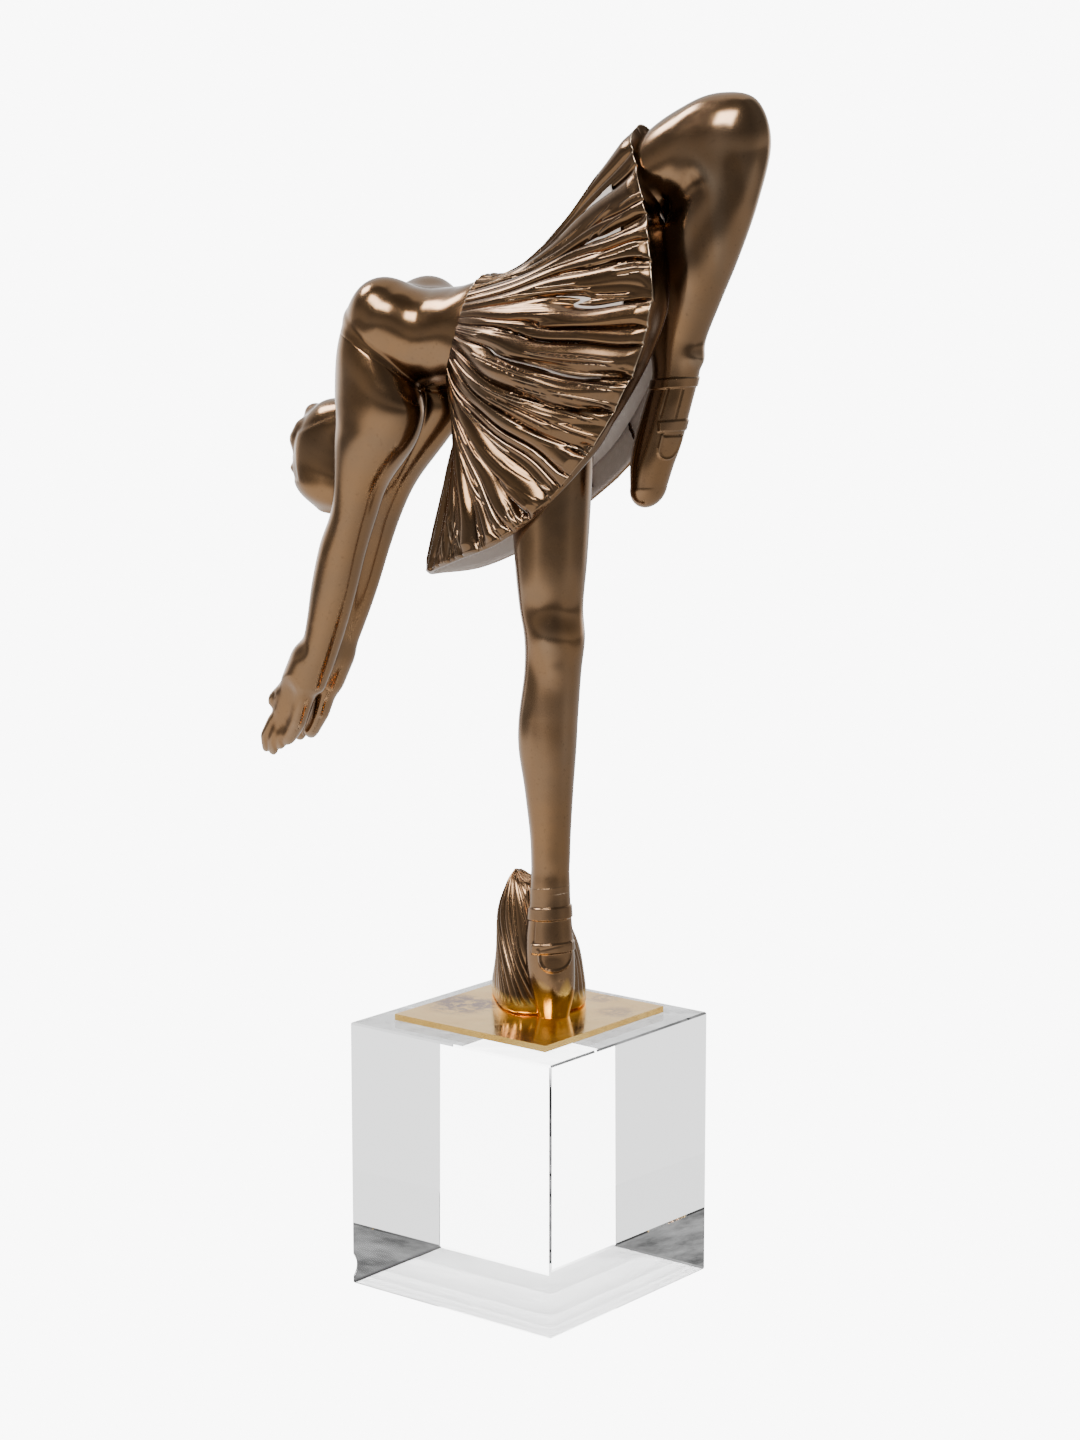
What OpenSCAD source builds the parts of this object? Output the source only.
// Art-deco dancer statuette: a bronze figure in a deep backbend on one pointed foot,
// standing on a gilt brass plate that is bonded to a clear crystal block.
// Millimetres, +Z up. Origin: centre of the block's bottom face.
// +X is the dancer's front, +Y the dancer's left; the body bends in the plane y = mid_y.

/* [Block] */
// Side of the square crystal block
block_w = 80; // [78:1:84]
// Height of the crystal block
block_h = 85; // [80:1:90]
// Polished bevel along the block's edges
block_bevel = 0.6; // [0.4:0.1:1.5]
// Radius of the shell-shaped chip low on one upright edge
chip_r = 6; // [3:0.5:7]

/* [Plate] */
// Side of the square brass plate
plate_w = 60; // [58:1:66]
// Thickness of the brass plate
plate_t = 2; // [1.5:0.1:3]
// Thickness of the clear adhesive between block and plate
glue_t = 0.3; // [0.2:0.1:0.5]
// Shank diameter of the plate screws
screw_d = 3; // [2.5:0.1:3.5]
// Length of the plate screws, head included
screw_l = 9; // [7:0.5:11]

/* [Figure] */
// Distance of the body's middle plane from the block's middle
mid_y = 8; // [7:0.5:9]
// Distance of the shoulders from the middle plane
shoulder_y = 12; // [12:0.5:13]
// Diameter of the steel rod inside the standing leg
rod_d = 4; // [3:0.5:5]
// Diameter of the dowels between the castings
dowel_d = 3; // [2:0.5:4]
// Thickness of the skirt's bronze wall
skirt_t = 2.4; // [2:0.1:2.6]

/* [Facets] */
// Facets around each limb
limb_sides = 20; // [16:2:24]
// Rings for each stretch between two stations of a limb
limb_steps = 2; // [2:1:3]
// Points around the skirt for each hem station
skirt_steps = 2; // [2:1:3]

/* [Hidden] */
$fn = 48;

bronze = [0.36, 0.25, 0.17];
gilt = [0.80, 0.62, 0.25];
plate_z = block_h + glue_t;      // underside of the brass plate
stand_z = plate_z + plate_t;     // top of the brass plate

// A limb is a row of stations [front x, front z, back x, back z, y, half width]:
// two points on its outline in a plane of constant y, and how far it reaches to each side.
standing = [
    [21.5, 286, -5, 279, 0, 12], [21.8, 268, -5, 265, 0, 12.4], [20.8, 248, -4, 247, 0, 11.8],
    [19.7, 230, -3, 230, 0, 10.8], [18.5, 216, -1.5, 216, 0, 9.6], [19.3, 206, 0.4, 206, 0, 9.1],
    [18.2, 196, 0.2, 195, 0, 8.4], [16.9, 182, -1.6, 181, 0, 8.7], [16.3, 172, -1.8, 171, 0, 8.5],
    [15.4, 158, 0, 158, 0, 7.2], [14.6, 142, 1.4, 142, 0, 6.2], [14.5, 128, 1.6, 126, 0, 6]];
shoe_down = [
    [14.5, 128, 1.6, 126, 0, 6], [15, 120, 0.8, 117, 0, 6.2], [15.8, 111, 0, 106, 0, 6.8],
    [16.2, 103, 1, 99, 0, 7], [16, 95, 3, 93, 0, 6.4], [14.4, stand_z, 4.5, stand_z, 0, 5]];
raised = [
    [-3, 309.5, 16.5, 292, 16, 12], [9, 320.5, 27, 308, 16, 11.5], [20, 336.5, 36, 322, 16, 11.3],
    [32, 356.2, 43, 335, 16, 11.2], [49, 366.4, 44, 335, 16, 11], [61, 369, 43, 333, 16, 10.5],
    [71, 366.5, 41.5, 331, 16, 10.2], [75.4, 355, 40, 329, 16, 10], [71.5, 338, 36.5, 326, 15.5, 10],
    [66, 322, 34, 317, 15, 9.8], [59.5, 308, 33.5, 308, 15, 9.2], [53.8, 296, 34.5, 298, 15.5, 7.8],
    [50, 285, 36, 287, 16, 6.6]];
shoe_up = [
    [50, 285, 36, 287, 16, 6.6], [48, 277, 33.5, 278, 15.5, 6.6], [45, 266, 30, 267, 15, 6.6],
    [42.5, 259.5, 29, 259.5, 14.5, 6.4], [40.3, 253, 29.2, 252.5, 14.2, 5.8],
    [39, 249.4, 30, 249, 14.1, 4.8], [36.5, 247, 32, 246.6, 14.1, 2]];
trunk = [
    [-13, 312, -25, 279, mid_y, 15.4], [-22, 314, -34, 281, mid_y, 15.8],
    [-32, 312, -41, 280.5, mid_y, 16.5], [-44, 311, -48, 280.5, mid_y, 18],
    [-55, 311, -55, 284, mid_y, 19.3], [-63, 309.5, -62, 289.5, mid_y, 18.5],
    [-69, 305.5, -68, 295.5, mid_y, 15.5], [-72, 301.5, -71.5, 299, mid_y, 8]];
skull = [
    [-68, 300, -58, 286, mid_y, 9], [-73, 288, -63, 274, mid_y, 8.5], [-79, 277, -69, 264, mid_y, 8],
    [-91, 274, -74, 258, mid_y, 10.3], [-99.5, 266, -73.5, 253, mid_y, 12],
    [-102, 255, -72.5, 248.5, mid_y, 12.4], [-100, 246.5, -74.5, 242, mid_y, 11],
    [-93, 239.5, -82, 238.6, mid_y, 5]];
// The two arms hang side by side; the left one drifts back towards the middle.
near_arm = [
    [-67, 303, -50, 286, -3.5, 7], [-70, 292, -47, 280, -3.5, 8.6], [-71.5, 280, -44, 273, -3.2, 8.8],
    [-72, 268, -48, 263, -2.6, 8.2], [-75.5, 252, -58, 249, -1.9, 7.8],
    [-78.5, 240, -63.5, 238, -1.2, 7.3], [-84, 229, -68, 227, -0.9, 7],
    [-88.5, 216, -73, 213, -0.3, 6.5], [-91.5, 204, -78, 201, 0.4, 6.1],
    [-95, 194, -83, 190, 0.9, 5.7], [-103, 184, -89, 180, 1.2, 4.8],
    [-110.5, 174.5, -92.5, 170.5, 1.2, 3.8], [-113.6, 167, -97, 164, 1.2, 3.1],
    [-116.4, 160.5, -102.5, 159.5, 1.2, 2.5], [-114.5, 156.4, -108, 156, 1.2, 1.5]];
far_arm = [
    [-67, 303, -50, 286, 19.5, 7], [-70, 292, -47, 280, 19.5, 8.6], [-71.5, 280, -45, 273, 19, 8.6],
    [-72, 268, -51.5, 263, 17.2, 7.2], [-76, 252, -61, 249, 15.8, 7],
    [-80, 240, -67, 238, 15.2, 6.7], [-86, 229, -71.5, 227, 14.8, 6.5],
    [-90.5, 216, -76.5, 213, 14.2, 6.2], [-94, 204, -81.5, 201, 13.6, 5.9],
    [-98, 194, -86.5, 190, 13.1, 5.5], [-105, 184, -91.5, 180, 12.8, 4.8],
    [-110, 174.5, -94.5, 171, 12.8, 4], [-112.5, 167, -98.5, 164.5, 12.8, 3.2],
    [-111.5, 161, -103.5, 160.8, 12.8, 1.8]];

// The skirt's hem, from its top over the raised thigh, down the dancer's right side, under
// the tail and up the left side. Each station is [x, y, z, how far the cloth bulges out].
hem = [
    [31, 16, 360, -13], [34, 6, 354, -10], [42, 0, 341, -6], [49, -6, 328, -1],
    [55, -12, 311, 3], [53, -15, 294, 6], [45, -17, 277, 7], [33, -17, 262, 7],
    [16, -16, 247, 6], [-3, -13, 236, 4], [-24, -7, 229, 1], [-43, 2, 223, -4],
    [-45, 10, 222, -4], [-33, 18, 224, -2], [-17, 25, 232, 2], [0, 30, 245, 5],
    [17, 32, 260, 6], [30, 33, 280, 6], [39, 35, 302, 5], [41, 33, 325, 2], [36, 29, 348, -5]];
waist_tilt = 19.4;               // lean of the waist's plane
waist_at = [-28, mid_y, 298];    // middle of the waist
waist_side = 17.4;               // half width of the waistband
waist_depth = 19.2;              // half depth of the waistband, front to back
waist_dip = 6;                   // how far the waistband dips towards the hips at the sides
waist_t = 1.2;                   // thickness of the skirt at the waistband
skirt_middle = [-4, mid_y, 290];  // the hem's wall is turned towards this point
waist_rows = 6;                  // rows of the skirt between waist and hem
hips_rows = 5;                   // rows that the hips fill, from the waist down
hips_gap = 0.02;                 // clearance between hips and skirt
hips_middle = [8, mid_y, 275];   // middle of the hips' underside

// The cloth-like mount behind and beside the standing shoe: rings of [height, then 12 points].
mount_rings = [
    [0, [9, 2], [10, 12], [6, 19], [0, 25], [-9, 26], [-17, 23],
        [-23, 18], [-24, 12], [-15, 3], [-6.5, -4], [1, -5.5], [8, -1]],
    [2.5, [10, 2], [11, 12], [7, 20], [0, 26], [-9, 27], [-18, 24],
        [-24, 18], [-25, 12], [-16, 2], [-7, -5], [1, -6.5], [8, -2]],
    [18, [9, 2], [9, 10], [6, 17], [1, 22], [-6, 22], [-13, 20],
        [-18, 15], [-20, 10], [-15, 2], [-9, -3], [-1, -5], [6, -2]],
    [30, [6, 1], [6, 7], [4, 12], [-1, 14], [-6, 14], [-11, 12],
        [-14, 10], [-16, 6], [-13.5, 1], [-10.5, -1.5], [-4, -2], [3, -1]],
    [39, [3, 2], [3, 5], [-2, 8], [-5, 9], [-8, 9], [-10.5, 8],
        [-12, 6.5], [-12.5, 5], [-11.5, 3], [-10, 1.8], [-6, 1], [0, 0]],
    [43, [-6, 4.5], [-6.5, 5.5], [-7.5, 6], [-8.5, 6.5], [-9, 6.5], [-9.5, 6.3],
        [-10, 6], [-10.2, 5.5], [-10, 5], [-9.5, 4.5], [-8.8, 4], [-7, 3.8]]];
rod_x = 8.6;                     // the leg rod stands on y = 0
rod_top = 296;                   // top of the leg rod
screws = [[-15, 14], [-1, 20]];  // plate screws in plan
dowel_l = 14;                    // length of every dowel
breast = [-56, 303.5, 10.5, 11];   // x, z, distance from the middle plane, radius
shoulder_at = [-61, 288];        // x and z of the shoulder dowels
neck_at = [-64.5, mid_y, 290];   // middle of the neck dowel
neck_along = [-5, 0, -12];       // its direction

function unit(v) = v / norm(v);
function spline(a, b, c, d, t) =
    0.5 * (2 * b + (c - a) * t + (2 * a - 5 * b + 4 * c - d) * t * t + (3 * b - a - 3 * c + d) * t * t * t);
function station(rows, t) = let (
    last = len(rows) - 1,
    i = min(floor(t), last - 1),
    before = i == 0 ? 2 * rows[0] - rows[1] : rows[i - 1],
    after = i + 2 > last ? 2 * rows[last] - rows[last - 1] : rows[i + 2])
    spline(before, rows[i], rows[i + 1], after, t - i);
function ring(s) = let (
    middle = [(s[0] + s[2]) / 2, s[4], (s[1] + s[3]) / 2],
    reach = [s[0] - s[2], 0, s[1] - s[3]] / 2)
    [for (k = [0:limb_sides - 1]) let (turn = 360 * k / limb_sides)
        middle + reach * cos(turn) + [0, s[5] * sin(turn), 0]];
function strip(count, rows, flip = false) = [
    for (j = [0:rows - 2], k = [0:count - 1]) let (
        a = j * count + k, b = j * count + (k + 1) % count, c = a + count, d = b + count)
        each (flip ? [[a, c, d], [a, d, b]] : [[a, d, c], [a, b, d]])];

// True where a limb's first ring turns the other way about its path.
function reversed(rows) = let (
    s = rows[0],
    n = rows[1],
    path = [n[0] + n[2] - s[0] - s[2], 0, n[1] + n[3] - s[1] - s[3]])
    cross([s[0] - s[2], 0, s[1] - s[3]], [0, 1, 0]) * path > 0;

// A closed solid through a limb's stations, with a flat face at each end.
module limb(rows) {
    rings = [for (j = [0:(len(rows) - 1) * limb_steps]) ring(station(rows, j / limb_steps))];
    last = (len(rings) - 1) * limb_sides;
    back = reversed(rows);
    first_cap = [for (k = [0:limb_sides - 1]) k];
    last_cap = [for (k = [limb_sides - 1:-1:0]) last + k];
    polyhedron(points = [for (r = rings) each r], faces = concat(strip(limb_sides, len(rings), back),
        [back ? first_cap : [for (k = [limb_sides - 1:-1:0]) k]],
        [back ? last_cap : [for (k = [0:limb_sides - 1]) last + k]]));
}
// A dowel of diameter d, centred at a point, along a direction.
module dowel(at, along, d, l) {
    side = unit(cross([0, 1, 0], along));
    up = unit(along);
    multmatrix([
        [side[0], 0, up[0], at[0]],
        [side[1], 1, up[1], at[1]],
        [side[2], 0, up[2], at[2]]])
        cylinder(h = l, d = d, center = true);
}

// A dowel through the middle of a station's face, square to it.
module face_dowel(s, d = dowel_d, l = dowel_l) {
    dowel([(s[0] + s[2]) / 2, s[4], (s[1] + s[3]) / 2], [s[3] - s[1], 0, s[0] - s[2]], d, l);
}
// How much of its bulge the cloth has, a share t of the way down from the waist.
function swell(t) = 2 * t * (1 - t) + 3.4 * t * (1 - t) ^ 2;
function hem_at(k) = let (n = len(hem), i = floor(k), t = k - i)
    spline(hem[(i + n - 1) % n], hem[i % n], hem[(i + 1) % n], hem[(i + 2) % n], t);
// A point of the skirt: k runs around the hem, t from 0 at the waist to 1 at the hem.
function cloth(k, t, inset) = let (
    h = hem_at(k),
    turn = 360 * k / len(hem),
    out = [sin(waist_tilt) * cos(turn), -sin(turn), cos(waist_tilt) * cos(turn)],
    thin = inset * waist_t / skirt_t,
    deep = cos(turn) * (waist_depth - thin),
    waist = waist_at + [waist_dip * sin(turn) ^ 2 + sin(waist_tilt) * deep,
        -sin(turn) * (waist_side - thin), cos(waist_tilt) * deep],
    edge = [h[0], h[1], h[2]],
    low = edge + inset * unit(skirt_middle - edge))
    waist + (low - waist) * t + out * swell(t) * (h[3] - inset * 0.6);
module skirt_shell() {
    count = len(hem) * skirt_steps;
    wall = [for (t = [0:waist_rows]) [t / waist_rows, 0]];
    rows = concat(wall, [for (t = [waist_rows:-1:0]) [t / waist_rows, skirt_t]]);
    points = [for (r = rows, k = [0:count - 1]) cloth(k / skirt_steps, r[0], r[1])];
    last = (len(rows) - 1) * count;
    polyhedron(points = points, faces = concat(strip(count, len(rows), true),
        [for (k = [0:count - 1]) let (next = (k + 1) % count)
            each [[k, last + next, next], [k, last + k, last + next]]]));
}
module crystal_block() {
    half = block_w / 2;
    color([0.9, 0.94, 0.96, 0.4])
    difference() {
        translate([0, 0, block_h / 2]) cube([block_w, block_w, block_h], center = true);
        for (turn = [0:90:270]) rotate(turn) {
            // upright edges
            translate([half, half, block_h / 2]) rotate(45)
                cube([block_bevel * sqrt(2), block_w, block_h + 2], center = true);
            // top and bottom edges
            for (z = [0, block_h]) translate([half, 0, z]) rotate([0, 45, 0])
                cube([block_bevel * sqrt(2), block_w + 2, block_bevel * sqrt(2)], center = true);
        }
        // shell-shaped chip on the upright edge at the dancer's back right
        translate([-half - chip_r / 2, -half - chip_r / 2, chip_r]) sphere(r = chip_r);
    }
}
module adhesive_film() {
    color([0.75, 0.74, 0.7, 0.5]) translate([0, 0, block_h + glue_t / 2])
        cube([plate_w - 2, plate_w - 2, glue_t], center = true);
}
module brass_plate() {
    color(gilt) difference() {
        translate([0, 0, plate_z + plate_t / 2]) cube([plate_w, plate_w, plate_t], center = true);
        plate_screw_bodies();
        rod_bore();
    }
}
// The steel rod's cylinder, from the plate's underside up into the hips.
module rod_bore() {
    translate([rod_x, 0, plate_z]) cylinder(h = rod_top - plate_z, d = rod_d);
}
// Countersunk screws, heads flush with the plate's underside.
module plate_screw_bodies() {
    for (at = screws) translate([at[0], at[1], plate_z]) {
        cylinder(h = screw_l, d = screw_d);
        cylinder(h = screw_d / 2, d1 = screw_d * 2, d2 = screw_d);
    }
}
module plate_screws() {
    color("silver") plate_screw_bodies();
}
module foot_mount() {
    color(bronze) difference() {
        mount_body();
        for (drop = [0, 1]) translate([0, 0, -drop]) limb(shoe_down);
        for (drop = [0, 0.2]) translate([0, 0, -drop]) limb(standing);
        plate_screw_bodies();
    }
}
// Point k of the mount's outline at a height counted in rings.
function mount_point(j, k) =
    station([for (m = mount_rings) [m[1 + k][0], m[1 + k][1], stand_z + m[0]]], j);
module mount_body() {
    heights = [0, 1, 1.5, 2, 2.5, 3, 3.5, 4, 4.5, 5];
    count = len(mount_rings[0]) - 1;
    last = (len(heights) - 1) * count;
    polyhedron(points = [for (j = heights, k = [0:count - 1]) mount_point(j, k)],
        faces = concat(strip(count, len(heights), true), [[for (k = [count - 1:-1:0]) k]],
            [[for (k = [0:count - 1]) last + k]]));
}
module standing_shoe() {
    color(bronze) difference() {
        limb(shoe_down);
        rod_bore();
    }
}
module standing_leg() {
    color(bronze) difference() {
        limb(standing);
        rod_bore();
    }
}
module leg_rod() {
    color("lightgray") rod_bore();
}
// The mass inside the skirt: its inner wall down to a row near the hem, closed by two fans.
module hips_body() {
    count = len(hem) * skirt_steps;
    last = hips_rows * count;
    points = [for (j = [hips_rows:-1:0], k = [0:count - 1])
        cloth(k / skirt_steps, j / waist_rows, skirt_t + hips_gap)];
    polyhedron(points = concat(points, [hips_middle, waist_at]), faces = concat(
        strip(count, hips_rows + 1),
        [for (k = [0:count - 1]) [(k + 1) % count, k, len(points)]],
        [for (k = [0:count - 1]) [last + k, last + (k + 1) % count, len(points) + 1]]));
}
module hips() {
    color(bronze) difference() {
        hips_body();
        trunk_body();
        limb(standing);
        limb(raised);
        face_dowel(trunk[0]);
        face_dowel(raised[0]);
        rod_bore();
    }
}
module skirt() {
    color(bronze) difference() {
        skirt_shell();
        limb(raised);
    }
}
module raised_leg() {
    color(bronze) difference() {
        limb(raised);
        face_dowel(raised[0]);
        face_dowel(shoe_up[0]);
    }
}
module raised_shoe() {
    color(bronze) difference() {
        limb(shoe_up);
        face_dowel(shoe_up[0]);
    }
}
module shoulder_dowel(side) {
    dowel([shoulder_at[0], mid_y + side * shoulder_y, shoulder_at[1]], [1, 0, 1], dowel_d, dowel_l);
}
module trunk_body() {
    limb(trunk);
    for (side = [-1, 1]) translate([breast[0], mid_y + side * breast[2], breast[1]]) sphere(r = breast[3]);
}
module torso() {
    color(bronze) difference() {
        trunk_body();
        face_dowel(trunk[0]);
        neck_pin();
        for (side = [-1, 1]) shoulder_dowel(side);
    }
}
module one_arm(rows, side) {
    color(bronze) difference() {
        limb(rows);
        trunk_body();
        shoulder_dowel(side);
    }
}
module right_arm() { one_arm(near_arm, -1); }
module left_arm() { one_arm(far_arm, 1); }
module neck_pin() {
    dowel(neck_at, neck_along, dowel_d, dowel_l);
}
module head() {
    color(bronze) difference() {
        limb(skull);
        trunk_body();
        limb(near_arm);
        limb(far_arm);
        neck_pin();
    }
}
module waist_dowel() { color("lightgray") face_dowel(trunk[0]); }
module neck_dowel() { color("lightgray") neck_pin(); }
module shoulder_dowels() { color("lightgray") for (side = [-1, 1]) shoulder_dowel(side); }
module hip_dowel() { color("lightgray") face_dowel(raised[0]); }
module ankle_dowel() { color("lightgray") face_dowel(shoe_up[0]); }

crystal_block();
adhesive_film();
brass_plate();
plate_screws();
foot_mount();
standing_shoe();
standing_leg();
leg_rod();
hips();
skirt();
raised_leg();
raised_shoe();
torso();
right_arm();
left_arm();
head();
waist_dowel();
neck_dowel();
shoulder_dowels();
hip_dowel();
ankle_dowel();
